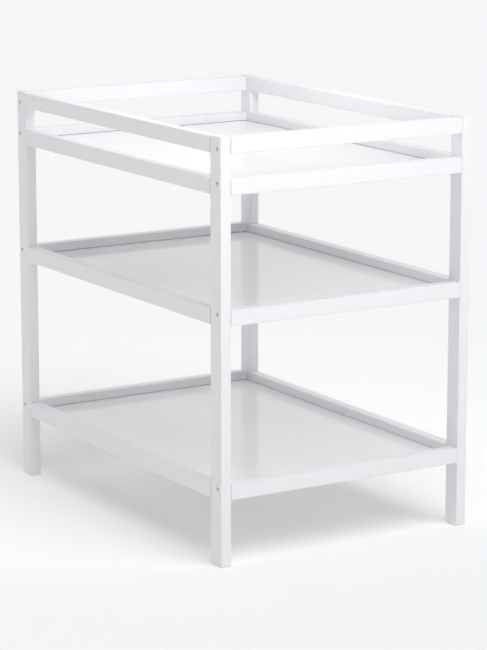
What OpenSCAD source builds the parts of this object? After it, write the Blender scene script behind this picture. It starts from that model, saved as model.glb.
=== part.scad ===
// Open changing table of painted wood. Two side frames are glued up from posts and side rails,
// four cross rails at each end are bolted between them, and three panels sit in grooves in the rails.
// Millimetres. The origin is the centre of the footprint on the floor, +X is right, +Y is the back
// and +Z is up. The side frames stand at -X and +X, the cross rails at -Y (front) and +Y (back).

/* [Overall] */
// Height of the posts
table_h = 880; // [800:1:1000]
// Width over the two side frames
table_w = 610; // [480:1:760]
// Length from the front posts to the back posts
table_l = 878; // [680:1:1080]

/* [Posts] */
// Post thickness, across the table
post_thk = 24; // [20:0.5:34]
// Post width, along the table
post_w = 40; // [34:0.5:60]
// Edge rounding of the posts
post_ease = 1.5; // [0.5:0.1:3]

/* [Rails] */
// Height of every rail
rail_h = 33; // [27:0.5:48]
// Thickness of the rails in the side frames
side_rail_thk = 24; // [20:0.5:32]
// Thickness of the cross rails
cross_rail_thk = 24; // [20:0.5:32]
// Rounding of the long edges of the rails
rail_ease = 1.5; // [0.5:0.1:3]
// Easing of the rail ends, which shows as a fine line at each joint
end_ease = 0.5; // [0.2:0.1:1]

/* [Levels] */
// Step from the post tops down to the top edge of the guard rails
guard_drop = 2; // [0:0.5:12]
// Open gap between the guard rails and the deck rails
guard_gap = 50; // [40:1:70]
// Height of the top edge of the rails round the middle shelf
mid_level = 531; // [420:1:600]
// Height of the top edge of the rails round the low shelf
low_level = 172; // [120:1:300]

/* [Panels] */
// Thickness of the deck and shelf panels
panel_thk = 8; // [5:0.5:12]
// Height of a panel's underside above the bottom edge of its rails
panel_lift = 5; // [4:0.5:7]
// Depth of the grooves that hold the panels
groove_depth = 5; // [3:0.5:8]
// Clearance over a panel, which rests on the lower wall of its groove
groove_clear = 0.8; // [0.2:0.1:1.2]
// Gap at a panel's edges, to the groove's floor and to the posts
panel_gap = 0.5; // [0.3:0.1:1]

/* [Bolts] */
// Bolt shank diameter
bolt_d = 6; // [5:0.5:8]
// Bolt length under its head
bolt_len = 60; // [50:1:80]
// Bolt head diameter
bolt_head_d = 11; // [9:0.5:14]
// Bolt head thickness
bolt_head_h = 2.4; // [1.5:0.1:3.5]
// Width across the flats of the hexagon socket
socket_af = 4; // [3:0.5:5]
// Depth of the hexagon socket
socket_depth = 2; // [1:0.1:3]
// How far a bolt head sits below the post's face
head_sink = 0.6; // [0:0.1:2]
// How far the bolts lie inside the middle of the cross rails' thickness
bolt_offset = 1; // [-1:0.5:2]
// Depth of the bolts below the top edge of the deck and shelf rails
shelf_bolt_down = 8; // [7.5:0.5:12]
// Height of the bolts above the bottom edge of the guard rails
guard_bolt_up = 10; // [8:0.5:14]
// Clearance round a bolt's shank
bolt_clear = 0.3; // [0.2:0.05:0.6]
// Clearance round a bolt's head in its counterbore
head_clear = 0.6; // [0.3:0.1:1]

/* [Barrel nuts] */
// Barrel nut diameter
nut_d = 10; // [9:0.5:12]
// Barrel nut length
nut_len = 10; // [9:0.5:14]
// Distance of the nut's axis from the end of its cross rail
nut_setback = 32; // [24:1:40]
// Clearance round a barrel nut
nut_clear = 0.2; // [0.1:0.05:0.4]
// Radial clearance of the thread on the bolt's shank
thread_clear = 0.05; // [0.02:0.01:0.1]
// Width and depth of the screwdriver slot in a barrel nut
nut_slot = 1.2; // [0.8:0.1:1.6]

/* [Dowels] */
// Dowel diameter
dowel_d = 8; // [6:0.5:10]
// Length of the dowels in the side frames
frame_dowel_len = 40; // [30:1:60]
// Depth of those dowels in the posts
frame_dowel_in_post = 18; // [12:1:22]
// Distance between the two dowels of a side frame joint
frame_dowel_pitch = 18; // [14:0.5:24]
// Length of the dowels that locate the cross rails
cross_dowel_len = 30; // [24:1:40]
// Depth of those dowels in the posts
cross_dowel_in_post = 10; // [8:0.5:14]
// Height of those dowels above the bottom edge of the deck and shelf rails
shelf_dowel_up = 9; // [7:0.5:12]
// Depth of those dowels below the top edge of the guard rails
guard_dowel_down = 8; // [7:0.5:10]
// Clearance round a dowel and past its ends
dowel_clear = 0.1; // [0.05:0.05:0.2]
// Chamfer on the dowel ends
dowel_chamfer = 0.8; // [0.4:0.1:1.2]

/* [Hidden] */
$fn = 32;

LEFT = -1;
RIGHT = 1;
FRONT = -1;
BACK = 1;

// Levels are numbered from the top down; each entry is the top edge of the rails there.
GUARD = 0;
DECK = 1;
MID = 2;
LOW = 3;
guard_level = table_h - guard_drop;
deck_level = guard_level - rail_h - guard_gap;
rail_tops = [guard_level, deck_level, mid_level, low_level];
LEVELS = [GUARD, DECK, MID, LOW];

half_w = table_w / 2;
half_l = table_l / 2;
side_rail_len = table_l - 2 * post_w;
cross_rail_len = table_w - 2 * post_thk;
cut = 1;
head_seat = head_sink + bolt_head_h;

white_paint = [0.95, 0.95, 0.95];
zinc = [0.75, 0.76, 0.78];
beech = [0.82, 0.68, 0.5];

function rail_bottom(level) = rail_tops[level] - rail_h;
function panel_bottom(level) = rail_bottom(level) + panel_lift;
function bolt_z(level) = level == GUARD ? rail_bottom(level) + guard_bolt_up
                                        : rail_tops[level] - shelf_bolt_down;
function cross_dowel_z(level) = level == GUARD ? rail_tops[level] - guard_dowel_down
                                               : rail_bottom(level) + shelf_dowel_up;
function frame_dowel_z(level, row) = rail_tops[level] - rail_h / 2 + row * frame_dowel_pitch / 2;
function bolt_y(end) = end * (half_l - cross_rail_thk / 2 - bolt_offset);
function cross_dowel_y(end) = end * (half_l - cross_rail_thk / 2);
function frame_dowel_x(side) = side * (half_w - side_rail_thk / 2);
function nut_x(side) = side * (half_w - post_thk - nut_setback);

// A rectangle with its corners rounded
module eased_rect(w, h, r) {
    translate([r, 0]) square([w - 2 * r, h]);
    translate([0, r]) square([w, h - 2 * r]);
    for (x = [r, w - r], y = [r, h - r])
        translate([x, y]) circle(r);
}

// A block from the origin with all its edges rounded, by rx along X, ry along Y and rz along Z
module eased_block(size, rx, ry, rz) {
    intersection() {
        rotate([90, 0, 90]) linear_extrude(size.x) eased_rect(size.y, size.z, rx);
        translate([0, size.y, 0]) rotate([90, 0, 0]) linear_extrude(size.y) eased_rect(size.x, size.z, ry);
        linear_extrude(size.z) eased_rect(size.x, size.y, rz);
    }
}

// Puts its children with +Z pointing from a side frame's face into the table
module facing_in(side) {
    rotate([0, -90 * side, 0]) children();
}

// Puts its children with +Z pointing from the table's middle out towards an end
module facing_end(end) {
    rotate([-90 * end, 0, 0]) children();
}

// A dowel along +Z with chamfered ends, centred on the origin
module dowel(len) {
    r = dowel_d / 2;
    c = dowel_chamfer;
    rotate_extrude()
        polygon([[0, -len / 2], [r - c, -len / 2], [r, c - len / 2],
                 [r, len / 2 - c], [r - c, len / 2], [0, len / 2]]);
}

// The hole for a dowel, centred on the origin along +Z
module dowel_hole(len) {
    cylinder(h = len + 2 * dowel_clear, d = dowel_d + 2 * dowel_clear, center = true);
}

// Counterbore and clearance hole for a bolt, from a post's outer face inwards
module bolt_hole() {
    translate([0, 0, -cut]) cylinder(h = cut + head_seat, d = bolt_head_d + 2 * head_clear);
    translate([0, 0, -cut]) cylinder(h = post_thk + 2 * cut, d = bolt_d + 2 * bolt_clear);
}

// A socket bolt with its head's outer face at the origin and its shank along +Z
module socket_bolt() {
    difference() {
        union() {
            cylinder(h = bolt_head_h, d = bolt_head_d);
            cylinder(h = bolt_head_h + bolt_len, d = bolt_d);
        }
        translate([0, 0, -cut]) cylinder(h = cut + socket_depth, d = socket_af / cos(30), $fn = 6);
    }
}

// A barrel nut standing along Z with its thread along X, and a slot in its lower face
module barrel_nut() {
    difference() {
        cylinder(h = nut_len, d = nut_d, center = true);
        rotate([0, 90, 0]) cylinder(h = nut_d + 2 * cut, d = bolt_d + 2 * thread_clear, center = true);
        translate([-nut_d / 2 - cut, -nut_slot / 2, -nut_len / 2 - cut])
            cube([nut_d + 2 * cut, nut_slot, nut_slot + cut]);
    }
}

// Places one child at each dowel of the joints between a post and its four side rails
module at_frame_dowels(side, end) {
    for (level = LEVELS, row = [-1, 1])
        translate([frame_dowel_x(side),
                   end * (half_l - post_w + frame_dowel_in_post - frame_dowel_len / 2),
                   frame_dowel_z(level, row)])
            facing_end(end) children();
}

// Places one child at the dowel between a post and each of its cross rails
module at_cross_dowels(side, end, levels) {
    for (level = levels)
        translate([side * (half_w - post_thk + cross_dowel_in_post - cross_dowel_len / 2),
                   cross_dowel_y(end), cross_dowel_z(level)])
            facing_in(side) children();
}

// Places one child on a post's outer face at each bolt, with +Z pointing inwards
module at_bolts(side, end, levels) {
    for (level = levels)
        translate([side * half_w, bolt_y(end), bolt_z(level)])
            facing_in(side) children();
}

// A post, with its bolt holes and dowel holes
module post(side, end) {
    color(white_paint) difference() {
        translate([side * (half_w - post_thk / 2) - post_thk / 2, end * (half_l - post_w / 2) - post_w / 2, 0])
            eased_block([post_thk, post_w, table_h], post_ease, post_ease, post_ease);
        at_bolts(side, end, LEVELS) bolt_hole();
        at_cross_dowels(side, end, LEVELS) dowel_hole(cross_dowel_len);
        at_frame_dowels(side, end) dowel_hole(frame_dowel_len);
    }
}

// The groove for a panel, running the length of a rail with its mouth on x = 0 and its floor towards +X
module panel_groove(len, level) {
    translate([-cut, -len / 2 - cut, panel_bottom(level)])
        cube([groove_depth + cut, len + 2 * cut, panel_thk + groove_clear]);
}

// A rail of a side frame, between its front and back posts
module side_rail(side, level) {
    color(white_paint) difference() {
        translate([side * (half_w - side_rail_thk / 2) - side_rail_thk / 2, -side_rail_len / 2, rail_bottom(level)])
            eased_block([side_rail_thk, side_rail_len, rail_h], end_ease, rail_ease, end_ease);
        if (level != GUARD)
            rotate([0, 0, side == RIGHT ? 0 : 180])
                translate([half_w - side_rail_thk, 0, 0]) panel_groove(side_rail_len, level);
        for (end = [FRONT, BACK])
            at_frame_dowels(side, end) dowel_hole(frame_dowel_len);
    }
}

// The bore for a bolt's end and the hole for its barrel nut, in the end of a cross rail
module nut_bore(side, end, level) {
    bolt_end = half_w - head_seat - bolt_len - cut;
    translate([side > 0 ? bolt_end : -half_w, bolt_y(end), bolt_z(level)])
        rotate([0, 90, 0]) cylinder(h = half_w - bolt_end, d = bolt_d + 2 * bolt_clear);
    translate([nut_x(side), bolt_y(end), rail_bottom(level) - cut])
        cylinder(h = bolt_z(level) + nut_len / 2 + nut_clear - rail_bottom(level) + cut,
                 d = nut_d + 2 * nut_clear);
}

// A cross rail, bolted between the side frames
module cross_rail(end, level) {
    color(white_paint) difference() {
        translate([-cross_rail_len / 2, end * (half_l - cross_rail_thk / 2) - cross_rail_thk / 2, rail_bottom(level)])
            eased_block([cross_rail_len, cross_rail_thk, rail_h], rail_ease, end_ease, end_ease);
        if (level != GUARD)
            rotate([0, 0, 90 * end])
                translate([half_l - cross_rail_thk, 0, 0]) panel_groove(cross_rail_len, level);
        for (side = [LEFT, RIGHT]) {
            nut_bore(side, end, level);
            at_cross_dowels(side, end, [level]) dowel_hole(cross_dowel_len);
        }
    }
}

// A panel, notched at its corners round the posts
module panel(level) {
    reach_x = half_w - side_rail_thk + groove_depth - panel_gap;
    reach_y = half_l - cross_rail_thk + groove_depth - panel_gap;
    clear_x = half_w - post_thk - panel_gap;
    clear_y = half_l - post_w - panel_gap;
    color(white_paint) translate([0, 0, panel_bottom(level)])
        linear_extrude(panel_thk) {
            square([2 * reach_x, 2 * clear_y], center = true);
            square([2 * clear_x, 2 * reach_y], center = true);
        }
}

// All the dowels of one side frame
module frame_dowels(side) {
    color(beech) for (end = [FRONT, BACK])
        at_frame_dowels(side, end) dowel(frame_dowel_len);
}

// The dowels that locate the four cross rails of one end
module cross_dowels(end) {
    color(beech) for (side = [LEFT, RIGHT])
        at_cross_dowels(side, end, LEVELS) dowel(cross_dowel_len);
}

// The bolts through the two posts of one side frame
module bolts(side) {
    color(zinc) for (end = [FRONT, BACK])
        at_bolts(side, end, LEVELS) translate([0, 0, head_sink]) socket_bolt();
}

// The barrel nuts in the four cross rails of one end
module barrel_nuts(end) {
    color(zinc) for (side = [LEFT, RIGHT], level = LEVELS)
        translate([nut_x(side), bolt_y(end), bolt_z(level)]) barrel_nut();
}

post(LEFT, FRONT);  // post_front_left
post(RIGHT, FRONT);  // post_front_right
post(LEFT, BACK);  // post_back_left
post(RIGHT, BACK);  // post_back_right
side_rail(LEFT, GUARD);  // guard_rail_left
side_rail(RIGHT, GUARD);  // guard_rail_right
cross_rail(FRONT, GUARD);  // guard_rail_front
cross_rail(BACK, GUARD);  // guard_rail_back
side_rail(LEFT, DECK);  // deck_rail_left
side_rail(RIGHT, DECK);  // deck_rail_right
cross_rail(FRONT, DECK);  // deck_rail_front
cross_rail(BACK, DECK);  // deck_rail_back
side_rail(LEFT, MID);  // mid_rail_left
side_rail(RIGHT, MID);  // mid_rail_right
cross_rail(FRONT, MID);  // mid_rail_front
cross_rail(BACK, MID);  // mid_rail_back
side_rail(LEFT, LOW);  // low_rail_left
side_rail(RIGHT, LOW);  // low_rail_right
cross_rail(FRONT, LOW);  // low_rail_front
cross_rail(BACK, LOW);  // low_rail_back
panel(DECK);  // changing_deck
panel(MID);  // mid_shelf
panel(LOW);  // low_shelf
frame_dowels(LEFT);  // left_frame_dowels
frame_dowels(RIGHT);  // right_frame_dowels
cross_dowels(FRONT);  // front_rail_dowels
cross_dowels(BACK);  // back_rail_dowels
bolts(LEFT);  // left_bolts
bolts(RIGHT);  // right_bolts
barrel_nuts(FRONT);  // front_barrel_nuts
barrel_nuts(BACK);  // back_barrel_nuts
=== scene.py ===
"""Open changing table of painted wood, finished for the studio.

The posts, rails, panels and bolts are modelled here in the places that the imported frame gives.
The dowels and barrel nuts keep the frame's own shapes and get their finishes here. Metres.
+X is right, +Y is the back and +Z is up.
"""

import logging
import math
from collections.abc import Iterable, Sequence
from dataclasses import dataclass, field
from enum import Enum
from typing import Any

import bmesh
import bpy
from mathutils import Matrix, Vector


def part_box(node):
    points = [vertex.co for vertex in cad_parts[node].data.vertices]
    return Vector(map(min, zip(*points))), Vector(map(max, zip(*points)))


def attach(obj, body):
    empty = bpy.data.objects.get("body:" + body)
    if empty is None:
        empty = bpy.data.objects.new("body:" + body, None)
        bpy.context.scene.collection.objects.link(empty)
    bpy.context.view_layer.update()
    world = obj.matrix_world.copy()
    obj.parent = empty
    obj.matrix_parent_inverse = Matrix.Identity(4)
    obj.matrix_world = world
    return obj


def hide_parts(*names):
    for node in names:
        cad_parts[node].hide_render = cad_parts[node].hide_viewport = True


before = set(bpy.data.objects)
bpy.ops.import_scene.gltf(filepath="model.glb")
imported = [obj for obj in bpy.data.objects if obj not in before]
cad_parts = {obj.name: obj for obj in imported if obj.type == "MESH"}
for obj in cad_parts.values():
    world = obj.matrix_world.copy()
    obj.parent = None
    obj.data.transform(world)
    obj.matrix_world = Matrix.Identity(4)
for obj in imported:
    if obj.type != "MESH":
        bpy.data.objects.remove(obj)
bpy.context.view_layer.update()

BODY = "root"
MM = 0.001
EDGE_LAYER = "edge"
RECESS_LAYER = "recess"
SHARP_ANGLE = math.radians(40)
FOLD_ANGLE = 1.0
HEXAGON_SECTOR = math.radians(60)
QUARTER_TURN = math.radians(90)
ROUND_STEPS = 4
SQUARE_ON = 0.99999
FLAT_FACE = 0.999
IN_LINE = 0.99
MERGE_DISTANCE = 0.001 * MM
LEVEL_TOLERANCE = 0.01 * MM
WHITE = (1.0, 1.0, 1.0, 1.0)

log = logging.getLogger("changing_table")

Colour = tuple[float, float, float]
Band = tuple[float, float]
WHOLE: Band = (0.0, 1.0)


class Axis(Enum):
    """The direction that a piece runs in."""

    ACROSS = 0
    ALONG = 1
    UP = 2

    @property
    def unit(self) -> Vector:
        """The unit vector along the axis."""
        return Vector([float(i == self.value) for i in range(3)])


class Side(Enum):
    """The two side frames, with the sign of their X."""

    LEFT = -1
    RIGHT = 1


class End(Enum):
    """The two ends, with the sign of their Y."""

    FRONT = -1
    BACK = 1


class Level(Enum):
    """The rails' levels from the top down, with the word that names them."""

    GUARD = "guard"
    DECK = "deck"
    MID = "mid"
    LOW = "low"


class Slot(Enum):
    """Names of material slots, which each new piece carries with it."""

    POSTS = "painted_posts"
    RAILS = "painted_rails"
    PANELS = "painted_panels"
    BOLTS = "zinc_bolts"


PANEL_NODES = {
    Level.DECK: "changing_deck",
    Level.MID: "mid_shelf",
    Level.LOW: "low_shelf",
}


def post_node(side: Side, end: End) -> str:
    """Names the frame's node of a post."""
    return f"post_{end.name.lower()}_{side.name.lower()}"


def rail_node(level: Level, place: Side | End) -> str:
    """Names the frame's node of a rail in a side frame or at an end."""
    return f"{level.value}_rail_{place.name.lower()}"


# ---------------------------------------------------------------------------------------------
# Joinery: the sizes and places that bolts, dowels, nuts and grooves share
# ---------------------------------------------------------------------------------------------


@dataclass(frozen=True)
class BoltSize:
    """One socket bolt and the hole that takes it."""

    head_diameter: float = 11 * MM
    head_height: float = 2.4 * MM
    head_round: float = 0.7 * MM
    head_sink: float = 0.6 * MM
    head_clearance: float = 0.6 * MM
    shank_diameter: float = 6 * MM
    shank_length: float = 60 * MM
    shank_clearance: float = 0.3 * MM
    thread_depth: float = 0.5 * MM
    socket_flats: float = 4 * MM
    socket_depth: float = 2 * MM
    socket_chamfer: float = 0.25 * MM
    mouth_chamfer: float = 0.25 * MM

    @property
    def seat(self) -> float:
        """Depth of the face that the head bears on, below the post's outer face."""
        return self.head_sink + self.head_height

    @property
    def reach(self) -> float:
        """Depth of the shank's far end below the post's outer face."""
        return self.seat + self.shank_length


@dataclass(frozen=True)
class DowelSize:
    """The two sorts of dowel and their holes."""

    hole_diameter: float = 8.2 * MM
    spare_depth: float = 0.1 * MM
    frame_length: float = 40 * MM
    frame_in_post: float = 18 * MM
    frame_pitch: float = 18 * MM
    cross_length: float = 30 * MM
    cross_in_post: float = 10 * MM


@dataclass(frozen=True)
class Joinery:
    """Where the hardware goes, measured from the frame's posts and rails."""

    bolt: BoltSize = BoltSize()
    dowel: DowelSize = DowelSize()
    bolt_inside_middle: float = 1 * MM
    bolt_below_shelf_rail_top: float = 8 * MM
    bolt_above_guard_rail_foot: float = 10 * MM
    dowel_above_shelf_rail_foot: float = 9 * MM
    dowel_below_guard_rail_top: float = 8 * MM
    nut_hole_diameter: float = 10.4 * MM
    nut_setback: float = 32 * MM
    nut_hole_above_bolt: float = 5.2 * MM
    groove_lift: float = 5 * MM
    groove_height: float = 8.8 * MM
    groove_depth: float = 5 * MM
    panel_gap: float = 0.5 * MM

    def rail_span(self, level: Level) -> tuple[float, float]:
        """Heights of the bottom and top edges of the rails at a level."""
        low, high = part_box(rail_node(level, Side.LEFT))
        return low.z, high.z

    def bolt_height(self, level: Level) -> float:
        """Height of the bolts at a level.

        Args:
            level: The rails' level.

        Returns:
            The height above the floor.
        """
        foot, top = self.rail_span(level)
        if level is Level.GUARD:
            return foot + self.bolt_above_guard_rail_foot
        return top - self.bolt_below_shelf_rail_top

    def cross_dowel_height(self, level: Level) -> float:
        """Height of the dowels between the posts and the cross rails at a level.

        Args:
            level: The rails' level.

        Returns:
            The height above the floor.
        """
        foot, top = self.rail_span(level)
        if level is Level.GUARD:
            return top - self.dowel_below_guard_rail_top
        return foot + self.dowel_above_shelf_rail_foot

    def frame_dowel_heights(self, level: Level) -> tuple[float, float]:
        """Heights of the two dowels between a post and its side rail at a level."""
        middle = sum(self.rail_span(level)) / 2
        return middle - self.dowel.frame_pitch / 2, middle + self.dowel.frame_pitch / 2

    def cross_line(self, end: End) -> float:
        """Y of the middle of the cross rails, which their dowels lie on."""
        low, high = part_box(rail_node(Level.LOW, end))
        return (low.y + high.y) / 2

    def bolt_line(self, end: End) -> float:
        """Y of the bolts at an end."""
        return self.cross_line(end) - end.value * self.bolt_inside_middle

    def frame_line(self, side: Side) -> float:
        """X of the middle of a side frame, which its dowels lie on."""
        low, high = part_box(rail_node(Level.LOW, side))
        return (low.x + high.x) / 2

    def outer_face(self, side: Side) -> float:
        """X of the posts' outer faces in a side frame."""
        low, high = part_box(post_node(side, End.FRONT))
        return low.x if side is Side.LEFT else high.x

    def inner_face(self, side: Side) -> float:
        """X of the posts' inner faces in a side frame."""
        low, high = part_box(post_node(side, End.FRONT))
        return high.x if side is Side.LEFT else low.x


# ---------------------------------------------------------------------------------------------
# Mesh work
# ---------------------------------------------------------------------------------------------


class Cutter:
    """A solid that takes material out of a piece. What one cutter holds doesn't overlap."""

    ROUNDNESS = 48
    OVERCUT = 1 * MM

    def __init__(self) -> None:
        """Starts with nothing to take away."""
        self.mesh = bmesh.new()

    def bore(self, mouth: Vector, inward: Vector, depth: float, diameter: float) -> None:
        """Adds a plain round hole.

        Args:
            mouth: Centre of the hole in the face that it starts from.
            inward: Unit vector into the wood.
            depth: Depth below that face.
            diameter: Diameter of the hole.
        """
        turn = inward.to_track_quat("Z", "Y").to_matrix().to_4x4()
        middle = mouth + inward * (depth - self.OVERCUT) / 2
        bmesh.ops.create_cone(
            self.mesh,
            cap_ends=True,
            segments=self.ROUNDNESS,
            radius1=diameter / 2,
            radius2=diameter / 2,
            depth=depth + self.OVERCUT,
            matrix=Matrix.Translation(middle) @ turn,
        )

    def counterbore(self, mouth: Vector, inward: Vector, depth: float, bolt: BoltSize) -> None:
        """Adds a bolt hole: a chamfered mouth, a flat seat for the head and a way for the shank.

        Args:
            mouth: Centre of the hole in the post's outer face.
            inward: Unit vector into the wood.
            depth: Thickness of the wood that the shank passes through.
            bolt: The bolt that the hole takes.
        """
        wide = bolt.head_diameter / 2 + bolt.head_clearance
        narrow = bolt.shank_diameter / 2 + bolt.shank_clearance
        flare = self.OVERCUT + bolt.mouth_chamfer
        outline = (
            (0.0, -self.OVERCUT),
            (wide + flare, -self.OVERCUT),
            (wide, bolt.mouth_chamfer),
            (wide, bolt.seat),
            (narrow, bolt.seat),
            (narrow, depth + self.OVERCUT),
            (0.0, depth + self.OVERCUT),
        )
        turned = turned_solid(outline, self.ROUNDNESS)
        turn = inward.to_track_quat("Z", "Y").to_matrix().to_4x4()
        bmesh.ops.transform(turned, matrix=Matrix.Translation(mouth) @ turn, verts=turned.verts)
        absorb(self.mesh, turned)

    def groove(self, low: Vector, high: Vector) -> None:
        """Adds a straight groove that fills the box between two corners."""
        bmesh.ops.create_cube(self.mesh, size=1.0, matrix=box_matrix(low, high))

    def panel_groove(
        self, low: Vector, high: Vector, run: Axis, mouth: float, outward: int, joinery: Joinery
    ) -> None:
        """Adds the groove for a panel's edge, in a rail's inner face from end to end.

        Args:
            low: Lowest corner of the rail.
            high: Highest corner of the rail.
            run: The direction that the rail runs in.
            mouth: Where the rail's inner face lies, in the other level direction.
            outward: Sign of the way from that face into the wood.
            joinery: The groove's sizes.
        """
        across = Axis.ACROSS if run is Axis.ALONG else Axis.ALONG
        floor = mouth + outward * joinery.groove_depth
        opening = mouth - outward * self.OVERCUT
        foot = low.z + joinery.groove_lift
        start, stop = low.copy(), high.copy()
        start[run.value] = low[run.value] - self.OVERCUT
        stop[run.value] = high[run.value] + self.OVERCUT
        start[across.value] = min(floor, opening)
        stop[across.value] = max(floor, opening)
        start.z = foot
        stop.z = foot + joinery.groove_height
        self.groove(start, stop)

    def tool(self) -> bpy.types.Object:
        """Makes the cutter an object for a Boolean modifier.

        Returns:
            The object, linked to the scene.
        """
        mesh = bpy.data.meshes.new("cutter")
        bmesh.ops.recalc_face_normals(self.mesh, faces=self.mesh.faces)
        self.mesh.to_mesh(mesh)
        self.mesh.free()
        made = bpy.data.objects.new("cutter", mesh)
        bpy.context.scene.collection.objects.link(made)
        return made


def box_matrix(low: Vector, high: Vector) -> Matrix:
    """The matrix that takes a unit cube at the origin to the box between two corners."""
    return Matrix.Translation((low + high) / 2) @ Matrix.Diagonal((high - low).to_4d())


def absorb(target: bmesh.types.BMesh, source: bmesh.types.BMesh) -> None:
    """Adds one mesh to another and frees it.

    Args:
        target: The mesh that grows.
        source: The mesh that is added.
    """
    passing = bpy.data.meshes.new("passing")
    source.to_mesh(passing)
    source.free()
    target.from_mesh(passing)
    bpy.data.meshes.remove(passing)


def turned_solid(outline: Sequence[tuple[float, float]], steps: int) -> bmesh.types.BMesh:
    """Turns an outline about Z into a closed solid.

    Args:
        outline: Points as (radius, height), starting and ending on the axis.
        steps: Number of faces round the axis.

    Returns:
        The solid.
    """
    bm = bmesh.new()
    points = [bm.verts.new((radius, 0.0, height)) for radius, height in outline]
    edges = [bm.edges.new(pair) for pair in zip(points, points[1:])]
    bmesh.ops.spin(
        bm,
        geom=points + edges,
        cent=(0.0, 0.0, 0.0),
        axis=(0.0, 0.0, 1.0),
        angle=math.tau,
        steps=steps,
        use_merge=True,
    )
    bmesh.ops.remove_doubles(bm, verts=bm.verts, dist=MERGE_DISTANCE)
    bmesh.ops.recalc_face_normals(bm, faces=bm.faces)
    return bm


def round_edges(bm: bmesh.types.BMesh, edges: Iterable[bmesh.types.BMEdge], radius: float) -> None:
    """Rounds edges off to a radius.

    Args:
        bm: The mesh that they belong to.
        edges: The edges.
        radius: Radius of the rounding.
    """
    bmesh.ops.bevel(
        bm,
        geom=list(edges),
        offset=radius,
        offset_type="OFFSET",
        segments=ROUND_STEPS,
        profile=0.5,
        affect="EDGES",
        material=-1,
    )


def square_on(normal: Vector) -> bool:
    """Says whether a normal points straight along one of the table's axes."""
    return max(abs(part) for part in normal) > SQUARE_ON


@dataclass
class Bar:
    """A planed and eased bar, which bores and grooves are cut into."""

    low: Vector
    high: Vector
    axis: Axis
    edge_round: float
    end_round: float
    butted: bool = False
    rim: float = 2.5 * MM

    def mesh(self) -> bmesh.types.BMesh:
        """Builds the bar, with a rim round each flat face that carries the edge layer.

        Returns:
            The closed bar before anything is cut into it.
        """
        bm = bmesh.new()
        bmesh.ops.create_cube(bm, size=1.0, matrix=box_matrix(self.low, self.high))
        if self.edge_round == self.end_round:
            round_edges(bm, bm.edges, self.edge_round)
        else:
            round_edges(bm, self.long_edges(bm), self.edge_round)
            round_edges(bm, self.end_edges(bm), self.end_round)
        bm.normal_update()
        flats = [f for f in bm.faces if square_on(f.normal) and len(f.verts) == 4]
        mark_rims(bm, flats, self.rim)
        self.mark_joints(bm)
        return bm

    def mark_joints(self, bm: bmesh.types.BMesh) -> None:
        """Writes the recess layer: 1 where the bar's ends meet its neighbours, 0 elsewhere.

        Args:
            bm: The bar's mesh.
        """
        layer = bm.verts.layers.float.new(RECESS_LAYER)
        if not self.butted:
            return
        low, high = self.low[self.axis.value], self.high[self.axis.value]
        for vert in bm.verts:
            depth = min(vert.co[self.axis.value] - low, high - vert.co[self.axis.value])
            vert[layer] = max(0.0, 1.0 - depth / self.end_round)

    def long_edges(self, bm: bmesh.types.BMesh) -> list[bmesh.types.BMEdge]:
        """Finds the four edges that run the bar's length.

        Args:
            bm: The bar's mesh.

        Returns:
            The edges.
        """
        unit = self.axis.unit
        runs = {e: (e.verts[0].co - e.verts[1].co).normalized() for e in bm.edges}
        return [e for e, run in runs.items() if abs(run.dot(unit)) > IN_LINE]

    def end_edges(self, bm: bmesh.types.BMesh) -> list[bmesh.types.BMEdge]:
        """Finds the edges round the bar's two ends.

        Args:
            bm: The bar's mesh.

        Returns:
            The edges.
        """
        unit = self.axis.unit
        bm.normal_update()
        return [e for f in bm.faces if abs(f.normal.dot(unit)) > IN_LINE for e in f.edges]


def mark_rims(bm: bmesh.types.BMesh, flats: list[bmesh.types.BMFace], width: float) -> None:
    """Insets flat faces and writes the edge layer: 1 on the rounded edges, 0 inside the rims.

    Args:
        bm: The mesh to work on.
        flats: Its flat faces, each inset by itself.
        width: Width of the rims.
    """
    layer = bm.verts.layers.float.new(EDGE_LAYER)
    for vert in bm.verts:
        vert[layer] = 1.0
    bmesh.ops.inset_individual(bm, faces=flats, thickness=width, depth=0.0, use_even_offset=True)
    for face in flats:
        for vert in face.verts:
            vert[layer] = 0.0


@dataclass
class Piece:
    """A finished visible piece and what it stands for."""

    name: str
    mesh: bmesh.types.BMesh
    material: bpy.types.Material
    slot: Slot
    node: str
    cutters: list[Cutter] = field(default_factory=list)

    def publish(self) -> bpy.types.Object:
        """Makes the piece an object on the frame, in place of its node.

        Returns:
            The object, at the origin with its place in its mesh.
        """
        mesh = bpy.data.meshes.new(self.name)
        self.mesh.to_mesh(mesh)
        self.mesh.free()
        made = bpy.data.objects.new(self.name, mesh)
        bpy.context.scene.collection.objects.link(made)
        self.carve(made)
        made.data.materials.clear()
        made.data.materials.append(self.material)
        made.data.shade_smooth()
        made.data.set_sharp_from_angle(angle=SHARP_ANGLE)
        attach(made, BODY)
        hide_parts(self.node)
        log.info("%s: %d faces, for %s", self.name, len(made.data.polygons), self.node)
        return made

    def carve(self, made: bpy.types.Object) -> None:
        """Takes the cutters out of the piece, one after another.

        Args:
            made: The piece's object, whose mesh is exchanged for the cut one.
        """
        if not self.cutters:
            return
        tools = [cutter.tool() for cutter in self.cutters]
        for tool in tools:
            cut = made.modifiers.new("cut", "BOOLEAN")
            cut.operation = "DIFFERENCE"
            cut.solver = "EXACT"
            cut.object = tool
        graph = bpy.context.evaluated_depsgraph_get()
        cut_mesh = bpy.data.meshes.new_from_object(
            made.evaluated_get(graph), preserve_all_data_layers=True, depsgraph=graph
        )
        made.modifiers.clear()
        spare = made.data
        made.data = cut_mesh
        bpy.data.meshes.remove(spare)
        cut_mesh.name = self.name
        for tool in tools:
            bpy.data.meshes.remove(tool.data)


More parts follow.
